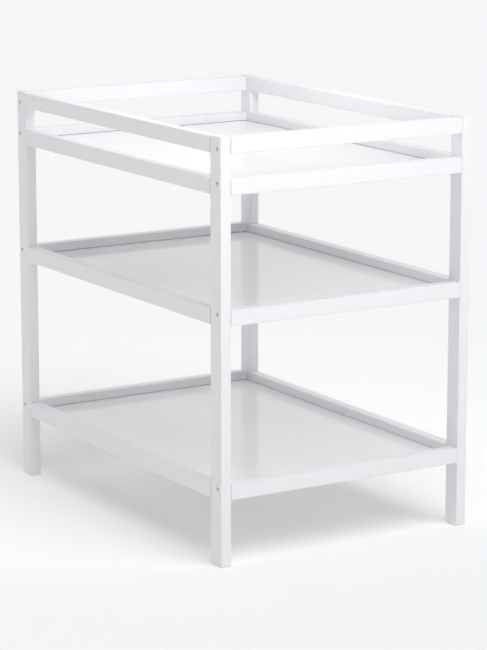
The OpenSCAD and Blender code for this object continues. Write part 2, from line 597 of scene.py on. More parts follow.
def painted(node: str, bar: Bar, slot: Slot, cutters: list[Cutter]) -> Piece:
    """Makes a painted bar that stands for a node, with its grain along it.

    Args:
        node: The frame's node.
        bar: The bar before anything is cut into it.
        slot: The material slot that the piece carries.
        cutters: What is taken out of it.

    Returns:
        The piece, ready to publish.
    """
    finish = PaintedWood(bar.axis)
    return Piece(f"painted_{node}", bar.mesh(), finish.material(), slot, node, cutters)


# ---------------------------------------------------------------------------------------------
# Node recipes and shared effects
# ---------------------------------------------------------------------------------------------


class Recipe:
    """A shader node tree as it is laid out."""

    def __init__(self, tree: bpy.types.NodeTree) -> None:
        """Takes the tree that nodes are added to."""
        self.tree = tree

    def add(self, kind: str, **settings: Any) -> bpy.types.Node:
        """Adds a node.

        Args:
            kind: Blender's name of the node type.
            settings: Properties of the node, by name.

        Returns:
            The node.
        """
        node = self.tree.nodes.new(kind)
        for name, value in settings.items():
            setattr(node, name, value)
        return node

    def feed(self, socket: bpy.types.NodeSocket, source: Any) -> None:
        """Links a socket to another, or sets its value.

        Args:
            socket: The socket that is fed.
            source: Another socket, or a value.
        """
        if isinstance(source, bpy.types.NodeSocket):
            self.tree.links.new(source, socket)
        else:
            socket.default_value = source

    def math(self, operation: str, first: Any, second: Any) -> bpy.types.NodeSocket:
        """Combines two numbers.

        Args:
            operation: Blender's name of the operation.
            first: A socket or a number.
            second: A socket or a number.

        Returns:
            The result's socket.
        """
        node = self.add("ShaderNodeMath", operation=operation)
        self.feed(node.inputs[0], first)
        self.feed(node.inputs[1], second)
        return node.outputs[0]

    def stretch(self, position: Any, factor: Any) -> bpy.types.NodeSocket:
        """Multiplies a position by a vector.

        Args:
            position: A socket or a vector.
            factor: A socket or a vector.

        Returns:
            The result's socket.
        """
        node = self.add("ShaderNodeVectorMath", operation="MULTIPLY")
        self.feed(node.inputs[0], position)
        self.feed(node.inputs[1], factor)
        return node.outputs[0]

    def noise(self, position: Any, scale: Any, detail: float = 2.0) -> bpy.types.NodeSocket:
        """Adds smooth noise.

        Args:
            position: Where it is read, as a socket.
            scale: Its features in a metre.
            detail: Number of finer layers.

        Returns:
            A value socket, about 0 to 1.
        """
        node = self.add("ShaderNodeTexNoise")
        self.feed(node.inputs["Vector"], position)
        self.feed(node.inputs["Scale"], scale)
        self.feed(node.inputs["Detail"], detail)
        return node.outputs[0]

    def remap(
        self, value: Any, band: Band, to_low: Any = 0.0, to_high: Any = 1.0
    ) -> bpy.types.NodeSocket:
        """Maps a range of values smoothly to another, and clamps it.

        Args:
            value: The socket to read.
            band: The values that become to_low and to_high.
            to_low: Result at the band's low end.
            to_high: Result at the band's high end.

        Returns:
            The result's socket.
        """
        node = self.add("ShaderNodeMapRange", interpolation_type="SMOOTHSTEP")
        for name, source in (
            ("Value", value),
            ("From Min", band[0]),
            ("From Max", band[1]),
            ("To Min", to_low),
            ("To Max", to_high),
        ):
            self.feed(node.inputs[name], source)
        return node.outputs[0]

    def blend(self, mask: Any, first: Any, second: Any) -> bpy.types.NodeSocket:
        """Mixes two colours by a mask.

        Args:
            mask: 0 for the first colour, 1 for the second.
            first: A colour or a socket.
            second: A colour or a socket.

        Returns:
            The colour's socket.
        """
        node = self.add("ShaderNodeMix", data_type="RGBA")
        for name, source in (("Factor_Float", mask), ("A_Color", first), ("B_Color", second)):
            socket = next(s for s in node.inputs if s.identifier == name)
            self.feed(socket, (*source, 1.0) if isinstance(source, tuple) else source)
        return next(s for s in node.outputs if s.identifier == "Result_Color")

    def bump(self, height: Any, relief: float, under: Any = None) -> bpy.types.NodeSocket:
        """Turns a height into a normal.

        Args:
            height: The height's socket, 0 to 1.
            relief: Depth of the relief in metres.
            under: Another bump's normal that this one lies on.

        Returns:
            The normal's socket.
        """
        node = self.add("ShaderNodeBump")
        self.feed(node.inputs["Distance"], relief)
        self.feed(node.inputs["Height"], height)
        if under is not None:
            self.feed(node.inputs["Normal"], under)
        return node.outputs["Normal"]

    def position(self) -> bpy.types.NodeSocket:
        """The place on the piece, in metres."""
        return self.add("ShaderNodeTexCoord").outputs["Object"]


@dataclass(frozen=True)
class Effect:
    """A shader node group that several finishes place, each with its own values."""

    title: str = "effect"
    takes: tuple[tuple[str, str, Any], ...] = ()
    gives: tuple[str, ...] = ("Mask",)

    def group(self) -> bpy.types.NodeTree:
        """Builds the group once and returns it.

        Returns:
            The group's node tree.
        """
        made = bpy.data.node_groups.get(self.title)
        if made is not None:
            return made
        made = bpy.data.node_groups.new(self.title, "ShaderNodeTree")
        for name, kind, value in self.takes:
            socket = made.interface.new_socket(name, in_out="INPUT", socket_type=kind)
            socket.default_value = value
        for name in self.gives:
            made.interface.new_socket(name, in_out="OUTPUT", socket_type="NodeSocketFloat")
        recipe = Recipe(made)
        inlet = recipe.add("NodeGroupInput").outputs
        outlet = recipe.add("NodeGroupOutput").inputs
        for name, socket in self.lay(recipe, inlet).items():
            recipe.feed(outlet[name], socket)
        return made

    def lay(self, recipe: Recipe, inlet: Any) -> dict[str, bpy.types.NodeSocket]:
        """Lays the effect's nodes and returns a socket for each name in gives."""
        raise NotImplementedError

    def place(self, recipe: Recipe, **values: Any) -> Any:
        """Places the group in a material.

        Args:
            recipe: The material's recipe.
            values: A socket or a number for each of the group's inputs, by name.

        Returns:
            The placed group's outputs.
        """
        node = recipe.add("ShaderNodeGroup")
        node.node_tree = self.group()
        for name, source in values.items():
            recipe.feed(node.inputs[name.replace("_", " ").title()], source)
        return node.outputs


@dataclass(frozen=True)
class WoodFigure(Effect):
    """Long grain, with pores, that runs one way through the wood."""

    title: str = "wood figure"
    takes: tuple[tuple[str, str, Any], ...] = (
        ("Position", "NodeSocketVector", (0.0, 0.0, 0.0)),
        ("Stretch", "NodeSocketVector", (1.0, 1.0, 1.0)),
        ("Scale", "NodeSocketFloat", 100.0),
    )
    gives: tuple[str, ...] = ("Rings", "Pores")
    ring_band: Band = (0.38, 0.62)
    pore_band: Band = (0.55, 0.72)
    pore_fineness: float = 9.0

    def lay(self, recipe: Recipe, inlet: Any) -> dict[str, bpy.types.NodeSocket]:
        """Lays broad bands and fine pores, both drawn out along the grain.

        Args:
            recipe: The group's recipe.
            inlet: The group's inputs.

        Returns:
            A socket for each name in gives.
        """
        place = recipe.stretch(inlet["Position"], inlet["Stretch"])
        broad = recipe.noise(place, inlet["Scale"], detail=3.0)
        fineness = recipe.math("MULTIPLY", inlet["Scale"], self.pore_fineness)
        fine = recipe.noise(place, fineness, detail=1.0)
        return {
            "Rings": recipe.remap(broad, self.ring_band),
            "Pores": recipe.remap(fine, self.pore_band),
        }


@dataclass(frozen=True)
class SprayedSkin(Effect):
    """The faint ripple that sprayed paint dries with."""

    title: str = "sprayed skin"
    takes: tuple[tuple[str, str, Any], ...] = (
        ("Position", "NodeSocketVector", (0.0, 0.0, 0.0)),
        ("Scale", "NodeSocketFloat", 450.0),
    )
    gives: tuple[str, ...] = ("Height",)
    swell_scale: float = 0.22

    def lay(self, recipe: Recipe, inlet: Any) -> dict[str, bpy.types.NodeSocket]:
        """Lays a ripple with a slower swell under it.

        Args:
            recipe: The group's recipe.
            inlet: The group's inputs.

        Returns:
            A socket for each name in gives.
        """
        ripple = recipe.noise(inlet["Position"], inlet["Scale"], detail=1.0)
        slower = recipe.math("MULTIPLY", inlet["Scale"], self.swell_scale)
        swell = recipe.noise(inlet["Position"], slower, detail=1.0)
        return {"Height": recipe.math("ADD", ripple, swell)}


@dataclass(frozen=True)
class EdgeWear(Effect):
    """Rubbed edges, broken up by noise. It reads the edge layer that the meshes carry."""

    title: str = "edge wear"
    takes: tuple[tuple[str, str, Any], ...] = (
        ("Position", "NodeSocketVector", (0.0, 0.0, 0.0)),
        ("Scale", "NodeSocketFloat", 60.0),
        ("Amount", "NodeSocketFloat", 0.5),
    )
    edge_band: Band = (0.35, 1.0)
    patch_band: Band = (0.35, 0.65)
    least: float = 0.25

    def lay(self, recipe: Recipe, inlet: Any) -> dict[str, bpy.types.NodeSocket]:
        """Lays the edge layer times noise.

        Args:
            recipe: The group's recipe.
            inlet: The group's inputs.

        Returns:
            A socket for each name in gives.
        """
        edge = recipe.add("ShaderNodeAttribute", attribute_name=EDGE_LAYER).outputs["Fac"]
        near = recipe.remap(edge, self.edge_band)
        broken = recipe.noise(inlet["Position"], inlet["Scale"], detail=4.0)
        patches = recipe.remap(broken, self.patch_band, self.least)
        worn = recipe.math("MULTIPLY", near, patches)
        return {"Mask": recipe.math("MULTIPLY", worn, inlet["Amount"])}


@dataclass(frozen=True)
class RecessShade(Effect):
    """Painted shade in the joints between parts and in bolt sockets. It reads the recess layer that the
    meshes carry.
    """

    title: str = "recess"
    takes: tuple[tuple[str, str, Any], ...] = (
        ("Position", "NodeSocketVector", (0.0, 0.0, 0.0)),
        ("Scale", "NodeSocketFloat", 80.0),
        ("Amount", "NodeSocketFloat", 1.0),
    )
    depth_band: Band = (0.05, 0.75)
    uneven_band: Band = (0.3, 0.7)
    least: float = 0.75

    def lay(self, recipe: Recipe, inlet: Any) -> dict[str, bpy.types.NodeSocket]:
        """Lays painted shade along the recess layer, uneven along its length.

        Args:
            recipe: The group's recipe.
            inlet: The group's inputs.

        Returns:
            A socket for each name in gives.
        """
        depth = recipe.add("ShaderNodeAttribute", attribute_name=RECESS_LAYER).outputs["Fac"]
        broken = recipe.noise(inlet["Position"], inlet["Scale"], detail=3.0)
        uneven = recipe.remap(broken, self.uneven_band, self.least)
        recess_shade = recipe.math("MULTIPLY", recipe.remap(depth, self.depth_band), uneven)
        return {"Mask": recipe.math("MULTIPLY", recess_shade, inlet["Amount"])}


@dataclass(frozen=True)
class Handling(Effect):
    """Broad soft patches where a surface has been wiped and touched."""

    title: str = "handling"
    takes: tuple[tuple[str, str, Any], ...] = (
        ("Position", "NodeSocketVector", (0.0, 0.0, 0.0)),
        ("Scale", "NodeSocketFloat", 7.0),
    )
    patch_band: Band = (0.3, 0.7)

    def lay(self, recipe: Recipe, inlet: Any) -> dict[str, bpy.types.NodeSocket]:
        """Lays wide patches with finer ones in them.

        Args:
            recipe: The group's recipe.
            inlet: The group's inputs.

        Returns:
            A socket for each name in gives.
        """
        patches = recipe.noise(inlet["Position"], inlet["Scale"], detail=5.0)
        return {"Mask": recipe.remap(patches, self.patch_band)}


FIGURE = WoodFigure()
SKIN = SprayedSkin()
WEAR = EdgeWear()
RECESS_SHADE = RecessShade()
TOUCH = Handling()


# ---------------------------------------------------------------------------------------------
# Finishes
# ---------------------------------------------------------------------------------------------


class Finish:
    """A finish that makes one material and keeps it."""

    def title(self) -> str:
        """The material's name."""
        raise NotImplementedError

    def lay(self, recipe: Recipe, surface: Any) -> None:
        """Lays the nodes that feed the surface shader's inputs."""
        raise NotImplementedError

    def material(self) -> bpy.types.Material:
        """Builds the material once and returns it.

        Returns:
            The material.
        """
        made = bpy.data.materials.get(self.title())
        if made is not None:
            return made
        made = bpy.data.materials.new(self.title())
        made.use_nodes = True
        surface = made.node_tree.nodes["Principled BSDF"].inputs
        self.lay(Recipe(made.node_tree), surface)
        return made


def grain_stretch(axis: Axis, length: float) -> tuple[float, float, float]:
    """The factor that draws a pattern out along the grain.

    Args:
        axis: The direction of the grain.
        length: How many times longer the pattern is than it is wide.

    Returns:
        A vector to multiply positions by.
    """
    return tuple(1.0 / length if i == axis.value else 1.0 for i in range(3))


@dataclass(frozen=True)
class PaintedWood(Finish):
    """Satin white paint sprayed over planed wood, whose grain just shows in it."""

    grain: Axis
    paint: Colour = (0.838, 0.846, 0.868)
    thin_paint: Colour = (0.810, 0.817, 0.836)
    worn_paint: Colour = (0.775, 0.772, 0.770)
    # Near-black colour painted into the seams where a rail's end meets a post: painted shade for the shadow
    # in the joint.
    joint_shade: Colour = (0.16, 0.16, 0.17)
    satin: float = 0.40
    dull: float = 0.52
    polish: float = 0.25
    grain_length: float = 25.0
    grain_scale: float = 130.0
    ridge_share: float = 0.12
    skin_scale: float = 420.0
    wear_scale: float = 55.0
    wear_amount: float = 0.35
    touch_scale: float = 6.0
    joint_scale: float = 70.0
    joint_amount: float = 0.65
    grain_relief: float = 0.010 * MM
    skin_relief: float = 0.012 * MM

    def title(self) -> str:
        """The material's name, with the way its grain runs."""
        return f"painted wood {self.grain.name.lower()}"

    def lay(self, recipe: Recipe, surface: Any) -> None:
        """Lays paint that is thin over the grain's ridges and rubbed at the edges, with painted shade in
        the seams where the rails meet the posts.

        Args:
            recipe: The material's recipe.
            surface: The surface shader's inputs.
        """
        place = recipe.position()
        stretch = grain_stretch(self.grain, self.grain_length)
        figure = FIGURE.place(recipe, position=place, stretch=stretch, scale=self.grain_scale)
        skin = SKIN.place(recipe, position=place, scale=self.skin_scale)
        wear = WEAR.place(recipe, position=place, scale=self.wear_scale, amount=self.wear_amount)
        worn = wear["Mask"]
        touched = TOUCH.place(recipe, position=place, scale=self.touch_scale)["Mask"]
        ridge = recipe.math("MULTIPLY", figure["Rings"], self.ridge_share)
        paint = recipe.blend(ridge, self.paint, self.thin_paint)
        # Painted shade: the paint turns near black along the recess layer at the rails' ends, for the
        # shadow in the seams.
        recess = RECESS_SHADE.place(recipe, position=place, scale=self.joint_scale, amount=self.joint_amount)
        joint_shade = recess["Mask"]
        rubbed = recipe.blend(worn, paint, self.worn_paint)
        recipe.feed(surface["Base Color"], recipe.blend(joint_shade, rubbed, self.joint_shade))
        sheen = recipe.remap(touched, WHOLE, self.satin, self.dull)
        polished = recipe.math("MULTIPLY", worn, self.polish)
        recipe.feed(surface["Roughness"], recipe.math("SUBTRACT", sheen, polished))
        grain = recipe.math("ADD", figure["Rings"], figure["Pores"])
        normal = recipe.bump(grain, self.grain_relief)
        recipe.feed(surface["Normal"], recipe.bump(skin["Height"], self.skin_relief, normal))


@dataclass(frozen=True)
class LacqueredPanel(Finish):
    """Smooth half-gloss white lacquer on a flat board."""

    lacquer: Colour = (0.850, 0.853, 0.864)
    thin_lacquer: Colour = (0.832, 0.835, 0.844)
    worn_lacquer: Colour = (0.740, 0.735, 0.725)
    gloss: float = 0.08
    dull: float = 0.12
    thin_share: float = 0.3
    skin_scale: float = 260.0
    wear_scale: float = 45.0
    wear_amount: float = 0.25
    touch_scale: float = 4.5
    skin_relief: float = 0.004 * MM

    def title(self) -> str:
        """The material's name."""
        return "lacquered panel"

    def lay(self, recipe: Recipe, surface: Any) -> None:
        """Lays lacquer with wiped patches and a faint ripple.

        Args:
            recipe: The material's recipe.
            surface: The surface shader's inputs.
        """
        place = recipe.position()
        skin = SKIN.place(recipe, position=place, scale=self.skin_scale)
        wear = WEAR.place(recipe, position=place, scale=self.wear_scale, amount=self.wear_amount)
        worn = wear["Mask"]
        touched = TOUCH.place(recipe, position=place, scale=self.touch_scale)["Mask"]
        thin = recipe.math("MULTIPLY", touched, self.thin_share)
        body = recipe.blend(thin, self.lacquer, self.thin_lacquer)
        recipe.feed(surface["Base Color"], recipe.blend(worn, body, self.worn_lacquer))
        recipe.feed(surface["Roughness"], recipe.remap(touched, WHOLE, self.gloss, self.dull))
        recipe.feed(surface["Normal"], recipe.bump(skin["Height"], self.skin_relief))


@dataclass(frozen=True)
class ZincPlate(Finish):
    """Bright zinc plate, clouded, with fine turning marks."""

    bright: Colour = (0.84, 0.845, 0.85)
    clouded: Colour = (0.68, 0.685, 0.70)
    # Near-black colour painted into the hex socket: painted shade in the recess, not the plate's own
    # colour.
    socket: Colour = (0.035, 0.035, 0.04)
    polished: float = 0.24
    dull: float = 0.42
    cloud_scale: float = 420.0
    cloud_band: Band = (0.35, 0.65)
    touch_scale: float = 150.0
    mark_scale: float = 5200.0
    mark_stretch: tuple[float, float, float] = (1.0, 1.0, 0.1)
    mark_relief: float = 0.006 * MM
    socket_shade_scale: float = 900.0
    socket_shade_amount: float = 1.0

    def title(self) -> str:
        """The material's name."""
        return "zinc plate"

    def lay(self, recipe: Recipe, surface: Any) -> None:
        """Lays clouds and fine scratches over the metal, and painted shade in the hex socket.

        Args:
            recipe: The material's recipe.
            surface: The surface shader's inputs.
        """
        surface["Metallic"].default_value = 1.0
        place = recipe.position()
        cloudy = recipe.noise(place, self.cloud_scale, detail=4.0)
        clouds = recipe.remap(cloudy, self.cloud_band)
        touched = TOUCH.place(recipe, position=place, scale=self.touch_scale)["Mask"]
        marks = recipe.noise(recipe.stretch(place, self.mark_stretch), self.mark_scale)
        plate = recipe.blend(clouds, self.bright, self.clouded)
        # Painted shade: the plate turns near black inside the hex socket, along the recess layer.
        recess = RECESS_SHADE.place(recipe, position=place, scale=self.socket_shade_scale, amount=self.socket_shade_amount)
        recess_shade = recess["Mask"]
        recipe.feed(surface["Base Color"], recipe.blend(recess_shade, plate, self.socket))
        recipe.feed(surface["Roughness"], recipe.remap(touched, WHOLE, self.polished, self.dull))
        recipe.feed(surface["Normal"], recipe.bump(marks, self.mark_relief))


@dataclass(frozen=True)
class BareBeech(Finish):
    """Unfinished beech with its short flecks."""

    grain: Axis
    pale: Colour = (0.62, 0.44, 0.27)
    ruddy: Colour = (0.47, 0.29, 0.16)
    fleck: Colour = (0.30, 0.17, 0.09)
    handled: float = 0.58
    dry: float = 0.72
    grain_length: float = 12.0
    grain_scale: float = 320.0
    touch_scale: float = 60.0
    fleck_share: float = 0.6
    pore_relief: float = 0.05 * MM

    def title(self) -> str:
        """The material's name, with the way its grain runs."""
        return f"bare beech {self.grain.name.lower()}"

    def lay(self, recipe: Recipe, surface: Any) -> None:
        """Lays rings, flecks and open pores.

        Args:
            recipe: The material's recipe.
            surface: The surface shader's inputs.
        """
        place = recipe.position()
        stretch = grain_stretch(self.grain, self.grain_length)
        figure = FIGURE.place(recipe, position=place, stretch=stretch, scale=self.grain_scale)
        touched = TOUCH.place(recipe, position=place, scale=self.touch_scale)["Mask"]
        body = recipe.blend(figure["Rings"], self.pale, self.ruddy)
        flecks = recipe.math("MULTIPLY", figure["Pores"], self.fleck_share)
        recipe.feed(surface["Base Color"], recipe.blend(flecks, body, self.fleck))
        recipe.feed(surface["Roughness"], recipe.remap(touched, WHOLE, self.handled, self.dry))
        recipe.feed(surface["Normal"], recipe.bump(figure["Pores"], self.pore_relief))


# ---------------------------------------------------------------------------------------------
# Sub-assemblies
# ---------------------------------------------------------------------------------------------


@dataclass
class SideFrame:
    """Two posts with four rails glued between them, and the bolts through its posts."""

    side: Side
    joinery: Joinery
    post_round: float = 1.5 * MM
    rail_round: float = 1.5 * MM
    rail_end_round: float = 0.8 * MM
    first_turn: float = 17.0
    turn_step: float = 23.0

    def build(self) -> list[bpy.types.Object]:
        """Builds the posts, the rails and the bolts.

        Returns:
            The frame's finished pieces.
        """
        posts = [self.post(end).publish() for end in End]
        rails = [self.rail(level).publish() for level in Level]
        return [*posts, *rails, self.bolts().publish()]

    def post(self, end: End) -> Piece:
        """Makes a post with its bolt holes and dowel holes.

        Args:
            end: The end of the table that the post stands at.

        Returns:
            The post, ready to publish.
        """
        node = post_node(self.side, end)
        low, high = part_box(node)
        bar = Bar(low, high, Axis.UP, self.post_round, self.post_round)
        return painted(node, bar, Slot.POSTS, [self.post_holes(end)])

    def post_holes(self, end: End) -> Cutter:
        """Lays out the holes in a post: bolts from outside, dowels from its two inner faces.

        Args:
            end: The end of the table that the post stands at.

        Returns:
            The cutter for all of them.
        """
        holes = Cutter()
        joinery = self.joinery
        dowel = joinery.dowel
        low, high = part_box(post_node(self.side, end))
        inward = Vector((-self.side.value, 0.0, 0.0))
        outward = -inward
        to_end = Vector((0.0, end.value, 0.0))
        rail_face = low.y if end is End.BACK else high.y
        for level in Level:
            bolt_place = (joinery.outer_face(self.side), joinery.bolt_line(end), joinery.bolt_height(level))
            holes.counterbore(Vector(bolt_place), inward, high.x - low.x, joinery.bolt)
            cross_height = joinery.cross_dowel_height(level)
            cross_mouth = Vector((joinery.inner_face(self.side), joinery.cross_line(end), cross_height))
            holes.bore(cross_mouth, outward, dowel.cross_in_post + dowel.spare_depth, dowel.hole_diameter)
            for height in joinery.frame_dowel_heights(level):
                mouth = Vector((joinery.frame_line(self.side), rail_face, height))
                holes.bore(mouth, to_end, dowel.frame_in_post + dowel.spare_depth, dowel.hole_diameter)
        return holes

    def rail(self, level: Level) -> Piece:
        """Makes a side rail with its dowel holes and, below the guard rail, its groove.

        Args:
            level: The rail's level.

        Returns:
            The rail, ready to publish.
        """
        node = rail_node(level, self.side)
        low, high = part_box(node)
        bar = Bar(low, high, Axis.ALONG, self.rail_round, self.rail_end_round, butted=True)
        holes = Cutter()
        dowel = self.joinery.dowel
        depth = dowel.frame_length - dowel.frame_in_post + dowel.spare_depth
        for end in End:
            face = high.y if end is End.BACK else low.y
            for height in self.joinery.frame_dowel_heights(level):
                mouth = Vector((self.joinery.frame_line(self.side), face, height))
                holes.bore(mouth, Vector((0.0, -end.value, 0.0)), depth, dowel.hole_diameter)
        if level is not Level.GUARD:
            mouth = self.joinery.inner_face(self.side)
            holes.panel_groove(low, high, bar.axis, mouth, self.side.value, self.joinery)
        return painted(node, bar, Slot.RAILS, [holes])

    def bolts(self) -> Piece:
        """Makes the eight bolts through the two posts, as one piece like the frame's node.

        Returns:
            The bolts, ready to publish.
        """
        mesh = bmesh.new()
        joinery = self.joinery
        face = joinery.outer_face(self.side) - self.side.value * joinery.bolt.head_sink
        inward = Vector((-self.side.value, 0.0, 0.0))
        turn = inward.to_track_quat("Z", "Y").to_matrix().to_4x4()
        for end in End:
            for number, level in enumerate(Level):
                head = Vector((face, joinery.bolt_line(end), joinery.bolt_height(level)))
                degrees = self.first_turn + self.turn_step * number
                tightened = Matrix.Rotation(math.radians(degrees), 4, "Z")
                place = Matrix.Translation(head) @ turn @ tightened
                bolt = SocketBolt(joinery.bolt).mesh()
                bmesh.ops.transform(bolt, matrix=place, verts=bolt.verts)
                absorb(mesh, bolt)
        side = self.side.name.lower()
        return Piece(f"socket_bolts_{side}", mesh, ZincPlate().material(), Slot.BOLTS, f"{side}_bolts")


@dataclass
class SocketBolt:
    """A flat-headed bolt with a hexagon socket, its head's face at the origin and its end at +Z."""

    size: BoltSize
    roundness: int = 48

    def mesh(self) -> bmesh.types.BMesh:
        """Grows the bolt ring by ring, from the socket's floor over the head to its far end.

        Returns:
            The closed bolt.
        """
        size = self.size
        bm = bmesh.new()
        socket = size.socket_flats / 2
        circle = bmesh.ops.create_circle(bm, cap_ends=True, segments=self.roundness, radius=socket)
        first = circle["verts"]
        self.shape(first, socket, size.socket_depth, hexagon=True)
        ring = list({e for v in first for e in v.link_edges if e.is_boundary})
        ring = self.grow(bm, ring, socket, size.socket_chamfer, hexagon=True)
        ring = self.grow(bm, ring, socket + size.socket_chamfer, 0.0, hexagon=True)
        head = size.head_diameter / 2
        for step in range(ROUND_STEPS + 1):
            angle = QUARTER_TURN * step / ROUND_STEPS
            radius = head - size.head_round * (1 - math.sin(angle))
            ring = self.grow(bm, ring, radius, size.head_round * (1 - math.cos(angle)))
        ring = self.grow(bm, ring, head, size.head_height)
        shank = size.shank_diameter / 2
        ring = self.grow(bm, ring, shank, size.head_height)
        far = size.head_height + size.shank_length
        ring = self.grow(bm, ring, shank, far - size.thread_depth)
        ring = self.grow(bm, ring, shank - size.thread_depth, far)
        bmesh.ops.contextual_create(bm, geom=ring)
        bmesh.ops.recalc_face_normals(bm, faces=bm.faces)
        self.mark_socket(bm)
        return bm

    def mark_socket(self, bm: bmesh.types.BMesh) -> None:
        """Writes the recess layer: 1 in the socket below its rim, 0 elsewhere.

        Args:
            bm: The bolt's mesh.
        """
        size = self.size
        layer = bm.verts.layers.float.new(RECESS_LAYER)
        for vert in bm.verts:
            below_rim = size.socket_chamfer / 2 < vert.co.z < size.head_height
            in_middle = vert.co.xy.length < size.shank_diameter / 2
            vert[layer] = 1.0 if below_rim and in_middle else 0.0

    def grow(
        self,
        bm: bmesh.types.BMesh,
        ring: list[bmesh.types.BMEdge],
        radius: float,
        height: float,
        hexagon: bool = False,
    ) -> list[bmesh.types.BMEdge]:
        """Extrudes the open ring to a new radius and height.

        Args:
            bm: The bolt's mesh.
            ring: Edges of the open ring.
            radius: Radius of the new ring, or half its width across the flats.
            height: Height of the new ring.
            hexagon: Whether the new ring is a hexagon.

        Returns:
            The new ring's edges.
        """
        grown = bmesh.ops.extrude_edge_only(bm, edges=ring)["geom"]
        self.shape([v for v in grown if isinstance(v, bmesh.types.BMVert)], radius, height, hexagon)
        return [e for e in grown if isinstance(e, bmesh.types.BMEdge) and e.is_boundary]

    def shape(
        self, verts: Iterable[bmesh.types.BMVert], radius: float, height: float, hexagon: bool
    ) -> None:
        """Moves a ring's points onto a circle or a hexagon.

        Args:
            verts: The ring's points.
            radius: Radius, or half the width across the flats.
            height: Height of the ring.
            hexagon: Whether it is a hexagon.
        """
        half = HEXAGON_SECTOR / 2
        for vert in verts:
            angle = math.atan2(vert.co.y, vert.co.x)
            from_flat = (angle + half) % HEXAGON_SECTOR - half
            reach = radius / math.cos(from_flat) if hexagon else radius
            vert.co = Vector((reach * math.cos(angle), reach * math.sin(angle), height))


@dataclass
class CrossRails:
    """The four rails bolted between the side frames at one end."""

    end: End
    joinery: Joinery
    rail_round: float = 1.5 * MM
    rail_end_round: float = 0.8 * MM

    def build(self) -> list[bpy.types.Object]:
        """Builds the end's four rails."""
        return [self.rail(level).publish() for level in Level]

    def rail(self, level: Level) -> Piece:
        """Makes a cross rail with its bolt bores, nut holes, dowel holes and groove.

        Args:
            level: The rail's level.

        Returns:
            The rail, ready to publish.
        """
        node = rail_node(level, self.end)
        low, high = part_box(node)
        bar = Bar(low, high, Axis.ACROSS, self.rail_round, self.rail_end_round, butted=True)
        bores, nut_holes = Cutter(), Cutter()
        for side in Side:
            self.end_bores(bores, side, level)
            self.nut_hole(nut_holes, side, level, low.z)
        if level is not Level.GUARD:
            mouth = low.y if self.end is End.BACK else high.y
            bores.panel_groove(low, high, bar.axis, mouth, self.end.value, self.joinery)
        return painted(node, bar, Slot.RAILS, [bores, nut_holes])

    def end_bores(self, bores: Cutter, side: Side, level: Level) -> None:
        """Adds the bores for a bolt and a dowel in one end of the rail.

        Args:
            bores: The cutter that they are added to.
            side: Which of the rail's ends.
            level: The rail's level.
        """
        joinery = self.joinery
        bolt, dowel = joinery.bolt, joinery.dowel
        face = joinery.inner_face(side)
        inward = Vector((-side.value, 0.0, 0.0))
        past_post = abs(joinery.outer_face(side) - face)
        bolt_mouth = Vector((face, joinery.bolt_line(self.end), joinery.bolt_height(level)))
        bolt_depth = bolt.reach - past_post + Cutter.OVERCUT
        bores.bore(bolt_mouth, inward, bolt_depth, bolt.shank_diameter + 2 * bolt.shank_clearance)
        dowel_mouth = Vector((face, joinery.cross_line(self.end), joinery.cross_dowel_height(level)))
        depth = dowel.cross_length - dowel.cross_in_post + dowel.spare_depth
        bores.bore(dowel_mouth, inward, depth, dowel.hole_diameter)

    def nut_hole(self, holes: Cutter, side: Side, level: Level, foot: float) -> None:
        """Adds the hole for a barrel nut, drilled up from the rail's bottom edge.

        Args:
            holes: The cutter that it is added to.
            side: Which of the rail's ends.
            level: The rail's level.
            foot: Height of the rail's bottom edge.
        """
        joinery = self.joinery
        across = joinery.inner_face(side) - side.value * joinery.nut_setback
        mouth = Vector((across, joinery.bolt_line(self.end), foot))
        depth = joinery.bolt_height(level) + joinery.nut_hole_above_bolt - foot
        holes.bore(mouth, Axis.UP.unit, depth, joinery.nut_hole_diameter)


